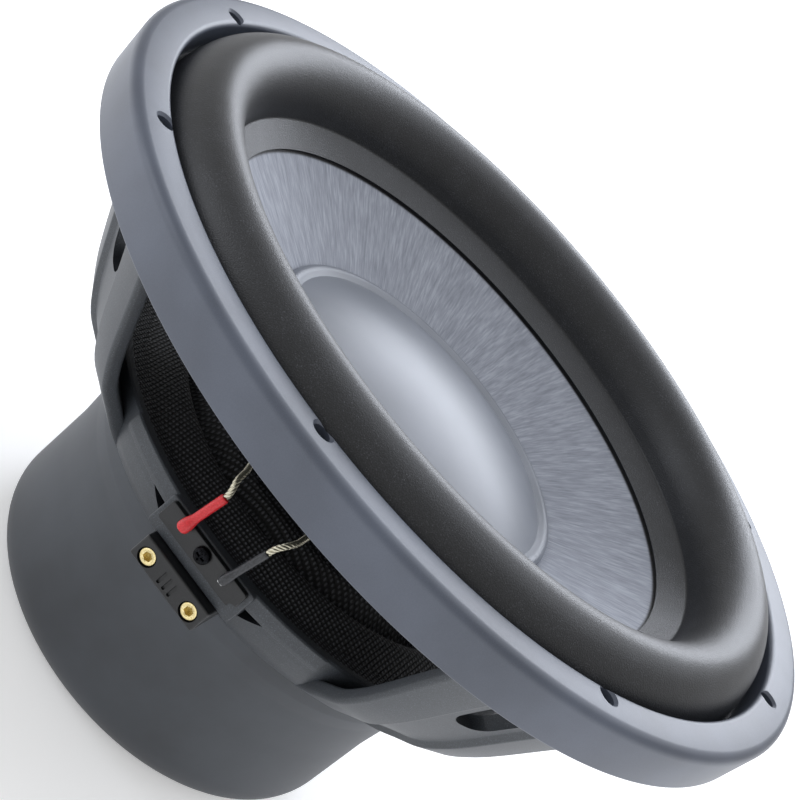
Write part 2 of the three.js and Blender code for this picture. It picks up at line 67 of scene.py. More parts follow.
# heights and radii that the pieces are built from, read from the frame
frontZ = high("trim_ring").z
floorZ = low("basket").z
flangeZ = high("basket").z
shelfZ = low("spider_ring").z - gap
topPlateZ = low("top_plate").z
plateLow, plateHigh = low("terminal_plate"), high("terminal_plate")
blockLow, blockHigh = low("terminal_block"), high("terminal_block")
print("frame read: front face at", round(frontZ, 1), "mm")


# ---- mesh helpers ----
def rounded(corners, step=12):
    # each corner is (x, y, fillet); a fillet becomes an arc in steps of about 12 degrees
    line = []
    for i, (x, y, fillet) in enumerate(corners):
        here = Vector((x, y, 0))
        before = Vector((*corners[i - 1][:2], 0)) - here
        after = Vector((*corners[(i + 1) % len(corners)][:2], 0)) - here
        if fillet <= 0:
            line.append((x, y))
            continue
        half = before.angle(after) / 2
        cut = min(fillet / math.tan(half), 0.49 * before.length, 0.49 * after.length)
        middle = (before.normalized() + after.normalized()).normalized()
        centre = here + middle * cut / math.cos(half)
        first = here + before.normalized() * cut - centre
        last = here + after.normalized() * cut - centre
        sweep = first.angle(last)
        steps = max(2, math.ceil(math.degrees(sweep) / step))
        for k in range(steps + 1):
            t = k / steps
            arm = first * math.sin((1 - t) * sweep) + last * math.sin(t * sweep)
            point = centre + arm / math.sin(sweep)
            line.append((point.x, point.y))
    return line


def smoothEdges(mesh, sharp=38):
    mesh.shade_smooth()
    mesh.set_sharp_from_angle(angle=math.radians(sharp))


def makeMesh(name, points, faces, material, sharp=38):
    mesh = bpy.data.meshes.new(name)
    mesh.from_pydata((np.array(points, float) * mm).tolist(), [], [list(map(int, f)) for f in faces])
    work = bmesh.new()
    work.from_mesh(mesh)
    bmesh.ops.remove_doubles(work, verts=work.verts, dist=1e-6)
    bmesh.ops.dissolve_degenerate(work, edges=work.edges, dist=1e-7)
    bmesh.ops.recalc_face_normals(work, faces=work.faces)
    work.to_mesh(mesh)
    work.free()
    smoothEdges(mesh, sharp)
    piece = bpy.data.objects.new(name, mesh)
    bpy.context.scene.collection.objects.link(piece)
    if material:
        mesh.materials.append(material)
    return piece


def place(piece, body, node, slot):
    if body:
        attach(piece, body)
    nodes = [node] if isinstance(node, str) else node
    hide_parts(*nodes)
    return piece


# A closed outline of (radius, height) turned round the axis; a part turn gets end faces.
def turned(name, outline, material=None, count=192, z=0.0, centre=0.0, sweep=360.0, sharp=38):
    whole = sweep >= 360
    steps = count if whole else max(4, round(count * sweep / 360))
    angles = np.radians(centre + sweep * (np.arange(steps + (0 if whole else 1)) / steps - 0.5))
    line = np.array(outline, float)
    r, h = line[:, 0], line[:, 1] + z
    points = np.stack(
        [np.outer(np.cos(angles), r), np.outer(np.sin(angles), r), np.tile(h, (len(angles), 1))], -1
    ).reshape(-1, 3)
    n = len(line)
    closed = line[0, 0] > 1e-6
    faces = []
    for i in range(steps):
        a, b = i * n, ((i + 1) % len(angles)) * n
        for j in range(n if closed else n - 1):
            k = (j + 1) % n
            faces.append((a + j, a + k, b + k, b + j))
    if not whole:
        faces += [tuple(range(n)), tuple(range(steps * n, steps * n + n))]
    return makeMesh(name, points, faces, material, sharp)


# A flat outline of (x, z) pushed along Y from y0 to y1.
def slab(name, outline, y0, y1, material=None, sharp=38):
    n = len(outline)
    points = [(x, y0, z) for x, z in outline] + [(x, y1, z) for x, z in outline]
    faces = [tuple(range(n)), tuple(range(n, 2 * n))]
    faces += [(i, (i + 1) % n, n + (i + 1) % n, n + i) for i in range(n)]
    return makeMesh(name, points, faces, material, sharp)


def rectangle(x0, x1, z0, z1, fillet=0.0):
    return rounded([(x0, z0, fillet), (x1, z0, fillet), (x1, z1, fillet), (x0, z1, fillet)])


def disc(radius, sides=32, x=0.0, z=0.0, twist=0.0):
    angles = twist + turn * np.arange(sides) / sides
    return [(x + radius * math.cos(a), z + radius * math.sin(a)) for a in angles]


def joined(piece, others, operation):
    for other in others:
        modifier = piece.modifiers.new("join", "BOOLEAN")
        modifier.operation = operation
        modifier.solver = "EXACT"
        modifier.object = other
        bpy.context.view_layer.update()
        made = bpy.data.meshes.new_from_object(
            piece.evaluated_get(bpy.context.evaluated_depsgraph_get())
        )
        piece.modifiers.clear()
        old = piece.data
        piece.data = made
        made.name = piece.name
        bpy.data.meshes.remove(old)
        bpy.data.objects.remove(other)
    smoothEdges(piece.data)
    return piece


def bevelled(piece, width, segments=3, angle=40):
    modifier = piece.modifiers.new("bevel", "BEVEL")
    modifier.width = width * mm
    modifier.segments = segments
    modifier.limit_method = "ANGLE"
    modifier.angle_limit = math.radians(angle)
    made = bpy.data.meshes.new_from_object(
        piece.evaluated_get(bpy.context.evaluated_depsgraph_get())
    )
    piece.modifiers.clear()
    piece.data = made
    smoothEdges(made)
    return piece


# A smooth line through a few points, with about one point every step mm.
def smoothRoute(points, step):
    knots = [Vector(p) for p in points]
    knots = [2 * knots[0] - knots[1]] + knots + [2 * knots[-1] - knots[-2]]
    route = []
    for a, b, c, d in zip(knots, knots[1:], knots[2:], knots[3:]):
        parts = max(2, math.ceil((c - b).length / step))
        for k in range(parts):
            t = k / parts
            route.append(
                0.5 * (2 * b + (c - a) * t + (2 * a - 5 * b + 4 * c - d) * t * t
                       + (3 * b - a - 3 * c + d) * t ** 3)
            )
    return route + [knots[-2]]


# Direction and two side directions at each point of a route, turning as little as they can.
def frames(route):
    found = []
    side = None
    for i, here in enumerate(route):
        ahead = (route[min(i + 1, len(route) - 1)] - route[max(i - 1, 0)]).normalized()
        if side is None:
            side = ahead.orthogonal().normalized()
        side = (side - ahead * side.dot(ahead)).normalized()
        found.append((here, side, ahead.cross(side)))
    return found


def tubePoints(route, radius, sides):
    radii = radius if isinstance(radius, (list, np.ndarray)) else [radius] * len(route)
    points, faces = [], []
    for i, (here, side, other) in enumerate(frames(route)):
        for k in range(sides):
            a = turn * k / sides
            points.append(here + (side * math.cos(a) + other * math.sin(a)) * radii[i])
            if i:
                j = (i - 1) * sides
                q = (k + 1) % sides
                faces.append((j + k, j + q, j + sides + q, j + sides + k))
    last = (len(route) - 1) * sides
    faces += [tuple(range(sides)), tuple(range(last, last + sides))]
    return points, faces


def gather(parts):
    points, faces = [], []
    for somePoints, someFaces in parts:
        start = len(points)
        points += list(somePoints)
        faces += [tuple(start + i for i in f) for f in someFaces]
    return points, faces


# Bakes the piece's placement into its mesh; the surround and the spider are not bent or shared between
# bodies.
def bendByRadius(piece):
    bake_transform(piece)


# ---- material helpers ----
def hexColour(code):
    parts = [int(code[i:i + 2], 16) / 255 for i in (0, 2, 4)]
    return (*[p / 12.92 if p <= 0.04045 else ((p + 0.055) / 1.055) ** 2.4 for p in parts], 1.0)


# Adds one node: plain words are its settings, sockets holds its inputs, stops a ramp's colours.
def addNode(tree, kind, sockets=None, stops=None, **settings):
    made = tree.nodes.new("ShaderNode" + kind)
    for name, value in settings.items():
        setattr(made, name, value)
    for key, value in (sockets or {}).items():
        if isinstance(value, bpy.types.NodeSocket):
            tree.links.new(value, made.inputs[key])
        else:
            made.inputs[key].default_value = value
    if stops:
        ramp = made.color_ramp.elements
        while len(ramp) < len(stops):
            ramp.new(0.5)
        for element, (position, code) in zip(ramp, stops):
            element.position = position
            element.color = hexColour(code)
    return made


def newMaterial(name, roughness, metallic=0.0, ior=1.5, **fixed):
    material = bpy.data.materials.new(name)
    material.use_nodes = True
    tree = material.node_tree
    shader = tree.nodes["Principled BSDF"]
    shader.inputs["Roughness"].default_value = roughness
    shader.inputs["Metallic"].default_value = metallic
    if not metallic:
        shader.inputs["IOR"].default_value = ior
    for name, value in fixed.items():
        shader.inputs[name.replace("_", " ")].default_value = value
    place = addNode(tree, "TexCoord").outputs["Object"]
    return material, tree, shader, place


def noise(tree, place, size, detail=2.0, rough=0.5):
    # size is the grain in mm
    made = addNode(tree, "TexNoise", {"Vector": place, "Scale": 1 / (size * mm), "Detail": detail,
                                      "Roughness": rough})
    return made.outputs["Fac"]


def bump(tree, shader, height, depth):
    # depth is the relief in mm between height 0 and 1
    made = addNode(tree, "Bump", {"Height": height, "Distance": depth * mm, "Strength": 1.0})
    tree.links.new(made.outputs["Normal"], shader.inputs["Normal"])


def mixed(tree, kind, a, b):
    return addNode(tree, "Math", {0: a, 1: b}, operation=kind).outputs[0]


def weighed(tree, a, shareA, b, shareB):
    return mixed(tree, "ADD", mixed(tree, "MULTIPLY", a, shareA), mixed(tree, "MULTIPLY", b, shareB))


def coloured(tree, shader, factor, stops, socket="Base Color"):
    ramp = addNode(tree, "ValToRGB", {"Fac": factor}, stops=stops)
    tree.links.new(ramp.outputs["Color"], shader.inputs[socket])


# Gives the radius from the axis in metres, and a place where the angle runs without a seam.
def polar(tree, place, around, along):
    # around and along are the grain's width round the axis at 80 mm radius, and its length outwards, in mm
    flat = addNode(tree, "VectorMath", {0: place, 1: (1, 1, 0)}, operation="MULTIPLY").outputs[0]
    radius = addNode(tree, "VectorMath", {0: flat}, operation="LENGTH").outputs["Value"]
    heading = addNode(tree, "VectorMath", {0: flat}, operation="NORMALIZE").outputs[0]
    spun = addNode(tree, "VectorMath", {0: heading, "Scale": 80 / around}, operation="SCALE").outputs[0]
    out = addNode(tree, "Math", {0: radius, 1: 1 / (along * mm)}, operation="MULTIPLY").outputs[0]
    lift = addNode(tree, "CombineXYZ", {"Z": out}).outputs[0]
    return radius, addNode(tree, "VectorMath", {0: spun, 1: lift}, operation="ADD").outputs[0]


def sprayedPowderCoat():
    # polyester powder on pressed steel: satin dark grey with a fine orange peel and paler grains
    look = {"peel": 1.1, "grain": 0.35, "relief": 0.035}
    material, tree, shader, place = newMaterial("powder-coated steel, sprayed and baked", 0.46)
    peel = noise(tree, place, look["peel"], 3)
    grain = noise(tree, place, look["grain"], 1)
    bump(tree, shader, weighed(tree, peel, 0.6, grain, 0.4), look["relief"])
    coloured(tree, shader, grain, [(0.3, "2f3236"), (0.62, "3d4146"), (0.8, "5a5f66")])
    return material


def mouldedTrimRubber():
    # EPDM pressed in a blasted mould: blue-grey satin with a soft cloudiness and a fine matt grain
    look = {"cloud": 38, "grain": 0.3, "relief": 0.012}
    material, tree, shader, place = newMaterial("EPDM rubber, moulded satin", 0.42, ior=1.52)
    cloud = noise(tree, place, look["cloud"], 3)
    grain = noise(tree, place, look["grain"], 2)
    bump(tree, shader, grain, look["relief"])
    coloured(tree, shader, weighed(tree, cloud, 0.7, grain, 0.3), [(0.35, "444954"), (0.65, "545a67")])
    return material


def skinnedFoamRubber():
    # butyl foam with a moulded skin: near black, with pale pinprick flecks painted into the colour as painted
    # glints of cells that catch the light
    look = {"cell": 0.5, "cloud": 9, "relief": 0.045}
    material, tree, shader, place = newMaterial("butyl foam rubber, skinned", 0.44, ior=1.5)
    bubbles = addNode(tree, "TexVoronoi", {"Vector": place, "Scale": 1 / (look["cell"] * mm)})
    cell = bubbles.outputs["Distance"]
    cloud = noise(tree, place, look["cloud"], 4)
    fleck = noise(tree, place, look["cell"] * 0.8, 2)
    bump(tree, shader, mixed(tree, "ADD", cell, fleck), look["relief"])
    coloured(tree, shader, weighed(tree, fleck, 0.8, cloud, 0.2),
             [(0.42, "1b1c1e"), (0.6, "27282b"), (0.72, "4d4f54")])
    return material


def pressedPulp(name, tones):
    # paper pulp pressed on a wire form: fibres drawn outwards leave fine radial wrinkles
    look = {"fibre": 0.7, "length": 6, "wrinkle": 2.4, "reach": 14, "fleck": 0.5, "relief": 0.22,
            "rim": 104.3, "rimWidth": 0.8}
    material, tree, shader, place = newMaterial(name, 0.62, ior=1.47)
    radius, fine = polar(tree, place, look["fibre"], look["length"])
    fibre = noise(tree, fine, 1 / mm, 3)
    wide = polar(tree, place, look["wrinkle"], look["reach"])[1]
    wrinkle = noise(tree, wide, 1 / mm, 4, 0.6)
    fleck = noise(tree, place, look["fleck"], 2)
    height = weighed(tree, wrinkle, 1.3, fibre, 0.55)
    bump(tree, shader, mixed(tree, "ADD", height, mixed(tree, "MULTIPLY", fleck, 0.25)), look["relief"])
    tone = weighed(tree, fibre, 0.55, wrinkle, 0.45)
    ramp = addNode(tree, "ValToRGB", {"Fac": tone}, stops=tones).outputs["Color"]
    # painted shade: from just inside the surround's lip outwards the pulp is painted near black, standing in
    # for the shade in the groove where cone and surround meet
    edge = addNode(tree, "MapRange", {"Value": radius, "From Min": look["rim"] * mm,
                                      "From Max": (look["rim"] + look["rimWidth"]) * mm}).outputs[0]
    both = addNode(tree, "Mix", {"Factor": edge, 6: ramp, 7: hexColour("101012")}, data_type="RGBA")
    tree.links.new(both.outputs[2], shader.inputs["Base Color"])
    return material


def mattPolypropylene():
    # polypropylene vacuum formed over a matt tool: even grey, with a faint haze
    look = {"cloud": 30, "grain": 0.25, "relief": 0.006}
    material, tree, shader, place = newMaterial("polypropylene, formed matt", 0.4, ior=1.49)
    cloud = noise(tree, place, look["cloud"], 2)
    grain = noise(tree, place, look["grain"], 2)
    bump(tree, shader, grain, look["relief"])
    coloured(tree, shader, cloud, [(0.3, "6d7179"), (0.7, "787c85")])
    return material


def bootRubber():
    # nitrile rubber moulded smooth: dark grey, matt, with faint smears of bloom
    look = {"bloom": 45, "grain": 0.4, "relief": 0.012}
    material, tree, shader, place = newMaterial("nitrile rubber, moulded smooth", 0.52, ior=1.52)
    bloom = noise(tree, place, look["bloom"], 4, 0.6)
    grain = noise(tree, place, look["grain"], 2)
    bump(tree, shader, grain, look["relief"])
    coloured(tree, shader, bloom, [(0.3, "34373c"), (0.7, "42464c")])
    rough = addNode(tree, "MapRange", {"Value": bloom, "To Min": 0.48, "To Max": 0.58}).outputs[0]
    tree.links.new(rough, shader.inputs["Roughness"])
    return material


def resinSetCloth():
    # cotton and aramid cloth pressed with resin: black, with the crown of each thread crossing painted pale
    # grey as a painted highlight
    look = {"thread": 1.55, "relief": 0.35}
    material, tree, shader, place = newMaterial("cotton cloth, woven and resin-set", 0.6, ior=1.53)
    axes = addNode(tree, "SeparateXYZ", {0: place}).outputs
    waves = []
    for axis in ("X", "Y"):
        phase = mixed(tree, "MULTIPLY", axes[axis], math.pi / (look["thread"] * mm))
        waves.append(addNode(tree, "Math", {0: phase}, operation="SINE").outputs[0])
    crown = addNode(tree, "Math", {0: mixed(tree, "MULTIPLY", *waves)}, operation="ABSOLUTE").outputs[0]
    fuzz = noise(tree, place, 0.5, 2)
    tone = mixed(tree, "MULTIPLY", crown, mixed(tree, "ADD", fuzz, 0.45))
    bump(tree, shader, tone, look["relief"])
    # painted highlight: the colour turns pale where the crown term is high
    coloured(tree, shader, tone, [(0.25, "060607"), (0.55, "1c1d1f"), (0.85, "65676c")])
    return material


def finePlastic(name, code, pale, roughness, ior=1.5, grain=0.3, relief=0.01):
    material, tree, shader, place = newMaterial(name, roughness, ior=ior)
    speck = noise(tree, place, grain, 2)
    bump(tree, shader, speck, relief)
    coloured(tree, shader, speck, [(0.35, code), (0.7, pale)])
    return material


def fineMetal(name, code, pale, roughness, grain=0.4, relief=0.01, streak=1.0):
    # streak above 1 draws the grain out along the height, as machining or drawing does
    material, tree, shader, place = newMaterial(name, roughness, metallic=1.0)
    drawn = addNode(tree, "VectorMath", {0: place, 1: (1, 1, streak)}, operation="MULTIPLY").outputs[0]
    mark = noise(tree, drawn, grain, 3)
    bump(tree, shader, mark, relief)
    coloured(tree, shader, mark, [(0.3, code), (0.7, pale)])
    rough = addNode(tree, "MapRange", {"Value": mark, "To Min": roughness * 0.8,
                                       "To Max": roughness * 1.25}).outputs[0]
    tree.links.new(rough, shader.inputs["Roughness"])
    return material


looks = {
    "basket_coat": sprayedPowderCoat(),
    "trim_rubber": mouldedTrimRubber(),
    "surround_foam": skinnedFoamRubber(),
    "cone_pulp": pressedPulp("paper pulp, pressed and dyed grey",
                             [(0.36, "7b7f89"), (0.5, "8b8f99"), (0.64, "9da1ab")]),
    "cap_plastic": mattPolypropylene(),
    "cover_rubber": bootRubber(),
    "spider_cloth": resinSetCloth(),
    # anodised black over a drawn sheet: a dull dark sheen
    "former_sheet": fineMetal("aluminium sheet, anodised black", "0d0d0e", "1b1c1e", 0.42),
    "coil_copper": fineMetal("copper wire, enamelled", "8f4a25", "b8683a", 0.3, 0.6, 0.02, 6.0),
    "ferrite": finePlastic("ferrite, pressed and sintered", "1e1e20", "2b2b2d", 0.7, 1.8, 0.8, 0.03),
    "plate_steel": fineMetal("steel, turned and zinc plated", "7f8286", "a3a6a9", 0.34),
    "ring_aluminium": fineMetal("aluminium, machined", "b6b8ba", "d4d5d6", 0.28, 0.5, 0.01, 8.0),
    # painted shade: a near-black sheet behind the gauze wires, in place of the dark space behind the vent
    "gauze_shade_sheet": finePlastic("felt, dyed black", "040405", "0b0b0c", 0.9, 1.5, 0.6, 0.02),
    "gauze": finePlastic("nylon monofilament, woven", "6a6d73", "a3a6ad", 0.4, 1.53),
    "screen_wire": fineMetal("steel wire, woven and blackened", "17181a", "2b2c2f", 0.45),
    "black_screw": fineMetal("steel, black oxide", "0c0c0d", "222326", 0.28, 0.5, 0.01),
    "terminal_plastic": finePlastic("glass-filled nylon, moulded black", "0f1011", "1d1e20", 0.38),
    "plated_brass": fineMetal("brass, turned and gold flashed", "cdb878", "f0e2b4", 0.22, 0.5, 0.012),
    "tinned_lug": fineMetal("copper, tinned", "a9aaab", "cfd0cf", 0.3, 0.5, 0.02),
    "sleeve_red": finePlastic("polyolefin sleeve, heat-shrunk red", "c4161c", "dd3038", 0.38, 1.5, 0.6, 0.03),
    "sleeve_dark": finePlastic("polyolefin sleeve, heat-shrunk dark", "1d1e20", "3b3d42", 0.36, 1.5, 0.6,
                               0.03),
    "tinsel_braid": fineMetal("copper tinsel, silvered and braided", "a39d84", "dcd8c6", 0.3, 0.25, 0.02),
}
print("materials made:", len(looks))


# ---- trim ring ----
trimRing = {"outer": 160.2, "opening": 145.5, "depth": 18.9, "draft": 1.6, "skirt": 2.0,
            "lip": 12.8, "step": 14.3, "landing": 152.7, "corner": 3.4,
            "innerCorner": 2.0, "holeCircle": 148.8, "holes": 8, "holeRadius": 3.05, "chamfer": 0.9}


# One mesh of cylinders along Z, each with a wider mouth at its top.
def drills(places, radius, z0, z1, chamfer=0.0, sides=40):
    parts = []
    for x, y in places:
        rings = [(radius, z0), (radius, z1 - chamfer), (radius + 2 * chamfer, z1 + chamfer)]
        points = [(x + r * math.cos(turn * k / sides), y + r * math.sin(turn * k / sides), z)
                  for r, z in rings for k in range(sides)]
        faces = [(i * sides + k, i * sides + (k + 1) % sides, (i + 1) * sides + (k + 1) % sides,
                  (i + 1) * sides + k) for i in range(2) for k in range(sides)]
        faces += [tuple(range(sides)), tuple(range(2 * sides, 3 * sides))]
        parts.append((points, faces))
    return makeMesh("drills", *gather(parts), None)


def circle(count, radius, offset=0.0):
    return [(radius * math.cos(offset + turn * i / count), radius * math.sin(offset + turn * i / count))
            for i in range(count)]


def makeTrimRing(d):
    foot = d["outer"] - d["draft"]
    line = rounded([
        (d["opening"], -d["lip"], 0.3),
        (d["opening"], 0, d["innerCorner"]),
        (d["outer"], 0, d["corner"]),
        (foot, -d["depth"], 0.8),
        (foot - d["skirt"], -d["depth"], 0.3),
        (foot - d["skirt"], -d["step"], 0),
        (d["landing"], -d["step"], 0),
        (d["landing"], -d["lip"], 0),
    ])
    ring = turned("trim_ring_moulding", line, looks["trim_rubber"], 256, frontZ)
    holes = drills(circle(d["holes"], d["holeCircle"]), d["holeRadius"], frontZ - 30, frontZ, d["chamfer"])
    place(joined(ring, [holes], "DIFFERENCE"), "frame", "trim_ring", "trim_rubber")


makeTrimRing(trimRing)
print("trim ring made")


# ---- surround ----
surround = {"inner": 105.3, "innerDepth": 19.8, "middle": 129.05, "halfWidth": 14.25, "rise": 21.2,
            "root": 13.4, "outer": 152.3, "skin": 1.4, "rootFillet": 2.0, "rollStart": 4.8, "steps": 44}


# Both faces of a thin sheet whose middle is the line.
def sheetOutline(line, thickness):
    spots = [Vector((x, y)) for x, y in line]
    sides = []
    for i, spot in enumerate(spots):
        ahead = (spots[min(i + 1, len(spots) - 1)] - spots[max(i - 1, 0)]).normalized()
        sides.append((spot, Vector((-ahead.y, ahead.x)) * thickness / 2))
    return [tuple(s + n) for s, n in sides] + [tuple(s - n) for s, n in reversed(sides)]


def makeSurround(d):
    start = math.asin(d["rollStart"] / d["rise"])
    roll = []
    for i in range(d["steps"] + 1):
        a = math.pi - start - (math.pi - 2 * start) * i / d["steps"]
        roll.append((d["middle"] + d["halfWidth"] * math.cos(a), -d["root"] + d["rise"] * math.sin(a), 0))
    line = rounded([
        (d["inner"], -d["innerDepth"], 0),
        (d["middle"] - d["halfWidth"], -d["root"], d["rootFillet"]),
        *roll,
        (d["middle"] + d["halfWidth"], -d["root"], d["rootFillet"]),
        (d["outer"], -d["root"], 0),
    ], 15)
    piece = turned("surround_roll", sheetOutline(line, d["skin"]), looks["surround_foam"], 288, frontZ)
    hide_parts("surround")
    bendByRadius(piece)


makeSurround(surround)
print("surround made")


# ---- cone and dust cap ----
cone = {"neck": 38.4, "neckDepth": 52.5, "rim": 105.3, "rimDepth": 20.7, "flange": 113.2,
        "flangeDepth": 15.3, "thickness": 1.5}
dustCap = {"radius": 66.8, "foot": 38.4, "rise": 12.0, "skin": 1.2, "lip": 2.4}


def makeCone(d):
    t = d["thickness"]
    line = rounded([
        (d["neck"], -d["neckDepth"], 0.3),
        (d["rim"], -d["rimDepth"], 2.0),
        (d["flange"], -d["flangeDepth"], 0.5),
        (d["flange"], -d["flangeDepth"] - t, 0.5),
        (d["rim"] + 0.6, -d["rimDepth"] - t, 2.0),
        (d["neck"] + 1.6, -d["neckDepth"] - t, 0.3),
        (d["neck"], -d["neckDepth"] - t, 0),
    ])
    piece = turned("cone_body", line, looks["cone_pulp"], 256, frontZ)
    # painted shade: faces that look downwards get a near-black copy of the pulp, standing in for the shade
    # under the cone
    back = pressedPulp("paper pulp, pressed and dyed black",
                       [(0.38, "141416"), (0.5, "1f2023"), (0.62, "2d2e32")])
    piece.data.materials.append(back)
    for face in piece.data.polygons:
        if face.normal.z < -0.1:
            face.material_index = 1
    place(piece, "moving", "cone", "cone_pulp")


def makeDustCap(d):
    domeRadius = d["radius"] - 5.6
    profile = [(d["radius"], 0), (d["radius"] - 0.3, 1.3), (d["radius"] - 1.6, d["lip"] - 0.1),
               (d["radius"] - 3.1, d["lip"]), (d["radius"] - 4.6, 1.75)]
    top = [(p.x, p.y) for p in smoothRoute([(r, z, 0) for r, z in profile], 0.5)]
    steps = 24
    for i in range(steps + 1):
        share = 1 - i / steps
        top.append((domeRadius * share, 1.3 + (d["rise"] - 1.3) * (1 - share ** 2)))
    under = [(max(r - 1.0, 0) if z < 3 else r, z - d["skin"]) for r, z in reversed(top) if z > d["skin"]]
    line = list(reversed(top)) + [(d["radius"] - 1.2, 0)] + list(reversed(under))
    piece = turned("dust_cap_dome", line, looks["cap_plastic"], 224, frontZ - d["foot"])
    place(piece, "moving", "dust_cap", "cap_plastic")


makeCone(cone)
makeDustCap(dustCap)
print("cone and dust cap made")


# ---- voice coil and spider ----
coil = {"radius": 38.1, "wall": 0.5, "winding": 2.5, "turns": 24}
spider = {"collar": 38.4, "landing": 88.5, "outer": 96.9, "ramp": 12.0, "rolls": 4, "height": 4.6,
          "skin": 0.8, "neck": 4.0}


def makeCoil(d):
    bottom, top = low("coil_former").z, high("coil_former").z
    inside = d["radius"] - d["wall"]
    line = rounded([(inside, bottom, 0.1), (d["radius"], bottom, 0.1), (d["radius"], top, 0.1),
                    (inside, top, 0.1)])
    place(turned("coil_former_tube", line, looks["former_sheet"]), "moving", "coil_former", "former_sheet")
    start, end = low("coil_winding").z, high("coil_winding").z
    inner, outer = d["radius"] + gap, d["radius"] + gap + d["winding"]
    line = [(inner, start), (outer - 0.4, start)]
    for i in range(d["turns"]):
        z = start + (end - start) * (i + 0.5) / d["turns"]
        line += [(outer - 0.35, z - 0.6), (outer, z), (outer - 0.35, z + 0.6)]
    line += [(outer - 0.4, end), (inner, end)]
    place(turned("coil_winding_turns", line, looks["coil_copper"], 128, sharp=70), "moving",
          "coil_winding", "coil_copper")


def makeSpider(d):
    inner = d["collar"] + d["neck"]
    roll = (d["landing"] - d["ramp"] - inner) / d["rolls"]
    knots = [(d["collar"] + 0.5, d["neck"], 0), (d["collar"] + 0.6, 1.2, 0), (inner - 1, -0.2, 0)]
    for i in range(d["rolls"]):
        up = 1 if (d["rolls"] - i) % 2 else -1
        knots.append((inner + (i + 1) * roll, up * d["height"], 0))
    knots += [(d["landing"], 0, 0), (d["landing"] + 1.5, 0, 0), (d["outer"], 0, 0)]
    line = [(p.x, p.y) for p in smoothRoute(knots, 0.9)]
    middle = shelfZ + 2.6
    piece = turned("spider_cloth", sheetOutline(line, d["skin"]), looks["spider_cloth"], 224, middle)
    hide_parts("spider")
    bendByRadius(piece)


makeCoil(coil)
makeSpider(spider)
print("voice coil and spider made")


# ---- basket ----
basket = {"rim": 97.3, "wall": 3.2, "height": 24.5, "shelf": 5.4, "inner": 89.5, "floor": 3.0,
          "opening": 43.5, "flangeInner": 137.0, "flangeOuter": 156.3, "flange": 4.6,
          "pad": 58.0, "padHeight": 6.8, "padProud": 0.9, "ventHalf": 29.0, "ventDrop": 10.4,
          "ventBridge": 0.6, "ventSteps": 32, "bossMargin": 1.8, "boltHole": 3.0, "screws": 4,
          "screwCircle": 62.0, "screwHole": 2.85}
arm = {"count": 4, "halfWidth": 26.8, "atRadius": 118.0, "thickness": 5.2, "recess": 2.0,
       "webHalf": 9.4, "railHalf": 11.6, "slotHalf": 7.6, "slotFoot": 49.0, "slotTop": 78.0}


def armProfile():
    knee = basket["rim"] + 16.5
    knots = [(basket["rim"] - 8, 1.5), (basket["rim"] + 0.5, 8), (basket["rim"] + 8.3, 15), (knee, 22.5),
             (knee + 6, 31), (knee + 11.5, 41), (knee + 21, 61), (knee + 31, flangeZ - floorZ - 4.4)]
    return smoothRoute([(r, z, 0) for r, z in knots], 3.0)


# One arm: a section with two rails and a sunk web, carried up the profile.
def armSolid(centre):
    d = arm
    line = armProfile()
    section = rounded([
        (-d["halfWidth"], 0, 1.6), (-d["railHalf"], 0, 1.2), (-d["webHalf"], d["recess"], 1.2),
        (d["webHalf"], d["recess"], 1.2), (d["railHalf"], 0, 1.2), (d["halfWidth"], 0, 1.6),
        (d["halfWidth"], d["thickness"], 1.2), (-d["halfWidth"], d["thickness"], 1.2),
    ], 20)
    points = []
    for i, spot in enumerate(line):
        ahead = (line[min(i + 1, len(line) - 1)] - line[max(i - 1, 0)]).normalized()
        inward = Vector((-ahead.y, ahead.x, 0))
        for across, depth in section:
            where = spot + inward * depth
            a = centre + across / d["atRadius"]
            points.append((where.x * math.cos(a), where.x * math.sin(a), where.y + floorZ))
    n = len(section)
    faces = [(i * n + j, i * n + (j + 1) % n, (i + 1) * n + (j + 1) % n, (i + 1) * n + j)
             for i in range(len(line) - 1) for j in range(n)]
    last = (len(line) - 1) * n
    faces += [tuple(range(n)), tuple(range(last, last + n))]
    return makeMesh("arm", points, faces, None)


# A long hole with a round foot, cut straight inwards through an arm.
def armSlot(centre):
    half, foot, top = arm["slotHalf"], arm["slotFoot"], arm["slotTop"]
    outline = rounded([(-half * 0.92, foot, half * 0.8), (half * 0.92, foot, half * 0.8),
                       (half * 1.12, top, 2.0), (-half * 1.12, top, 2.0)])
    cutter = slab("slot", [(x, z + floorZ) for x, z in outline], 100, 150)
    cutter.data.transform(Matrix.Rotation(centre - math.pi / 2, 4, "Z"))
    return cutter


def bowlOutline(d):
    wall = d["rim"] + d["wall"]
    top = d["height"]
    return rounded([
        (d["opening"], 0, 0.5), (wall - 15, 0, 3), (wall - 9.5, 3, 6), (wall - 6, 7.5, 10),
        (wall - 3, 14, 14), (wall - 1, 19.5, 14), (wall, top - 0.9, 0.6), (wall - 0.8, top, 0.5),
        (d["rim"], top, 0.5), (d["rim"], top - d["shelf"], 0.4), (d["inner"], top - d["shelf"], 0.5),
        (d["inner"], d["floor"] + 2, 1), (d["inner"] - 2, d["floor"], 2), (d["opening"], d["floor"], 0.5),
    ])


